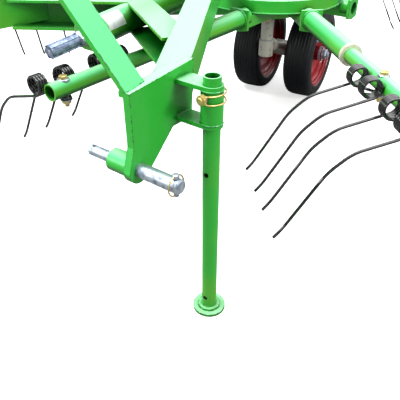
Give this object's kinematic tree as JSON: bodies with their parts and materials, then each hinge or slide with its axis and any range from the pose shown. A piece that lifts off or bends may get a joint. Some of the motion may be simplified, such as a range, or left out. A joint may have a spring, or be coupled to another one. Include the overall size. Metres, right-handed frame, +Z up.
{
  "type": "rotary hay rake",
  "caption": "Rotary hay rake on a three-point headstock: a dished rotor with trailing coil-spring tines under a V frame, two close wheels and two sliding parking stands.",
  "frame": {"origin": "middle of the bounding box, on the ground", "axes": "+Z up; -Y towards the tractor; +X to the right-hand side as the tractor driver looks back at the front of the rake; the rotor axis is vertical"},
  "size_m": [2.0796, 2.3438, 1.029],
  "materials": {
    "green_paint": "gloss",
    "red_paint": "gloss",
    "tyre": "matte",
    "black_gloss": "gloss",
    "zinc": "satin",
    "yellow_zinc": "satin",
    "nylon": "matte",
    "grey_paint": "satin",
    "dark_steel": "satin"
  },
  "bodies": {
    "frame": {"brace": "green_paint", "column": "grey_paint", "cross_member_left": "green_paint", "cross_member_right": "green_paint", "drive_tube": "green_paint", "gearbox": "grey_paint", "headstock_leg_left": "green_paint", "headstock_leg_right": "green_paint", "hitch_pin_left": "zinc", "hitch_pin_right": "zinc", "hitch_plate_left": "green_paint", "hitch_plate_right": "green_paint", "side_tube_left": "green_paint", "side_tube_right": "green_paint", "stand_bracket_left": "green_paint", "stand_bracket_right": "green_paint", "stand_pin_left": "yellow_zinc", "stand_pin_right": "yellow_zinc", "top_link_bracket": "green_paint", "wheel_carrier": "green_paint"},
    "rotor": {"arm_brackets": "green_paint", "arm_sleeves": "green_paint", "arm_tubes": "green_paint", "rotor_dish": "green_paint", "rotor_hub": "green_paint", "sleeve_rings": "nylon", "tines_0": "black_gloss", "tines_1": "black_gloss", "tines_2": "black_gloss", "tines_3": "black_gloss", "tines_4": "black_gloss", "tines_5": "black_gloss", "tines_6": "black_gloss"},
    "pto": {"pto_stub": "dark_steel"},
    "wheel_left": {"tyre_left": "tyre", "wheel_rim_left": "red_paint"},
    "wheel_right": {"tyre_right": "tyre", "wheel_rim_right": "red_paint"},
    "stand_left": {"stand_leg_left": "green_paint"},
    "stand_right": {"stand_leg_right": "green_paint"}
  },
  "joints": [
    {"name": "rotor_spin", "type": "hinge", "parent": "frame", "child": "rotor", "pos_m": [0.07394, 0.05814, 0.449], "axis": [0, 0, 1], "continuous": true},
    {"name": "pto_spin", "type": "hinge", "parent": "frame", "child": "pto", "pos_m": [0.07394, -0.84686, 0.51888], "axis": [0, -0.9962, -0.0872], "continuous": true},
    {"name": "wheel_left_spin", "type": "hinge", "parent": "frame", "child": "wheel_left", "pos_m": [-0.0739, 0.268, 0.187], "axis": [0.9895, 0.1444, 0], "continuous": true},
    {"name": "stand_left_slide", "type": "slide", "parent": "frame", "child": "stand_left", "axis": [0, 0, 1], "range_m": [0, 0.44]},
    {"name": "wheel_right_spin", "type": "hinge", "parent": "frame", "child": "wheel_right", "pos_m": [0.15567, 0.30149, 0.187], "axis": [0.9895, 0.1444, 0], "continuous": true},
    {"name": "stand_right_slide", "type": "slide", "parent": "frame", "child": "stand_right", "axis": [0, 0, 1], "range_m": [0, 0.44]}
  ],
  "couplings": [
    {"joint": "pto_spin", "follows": "rotor_spin", "ratio": 5.5}
  ]
}
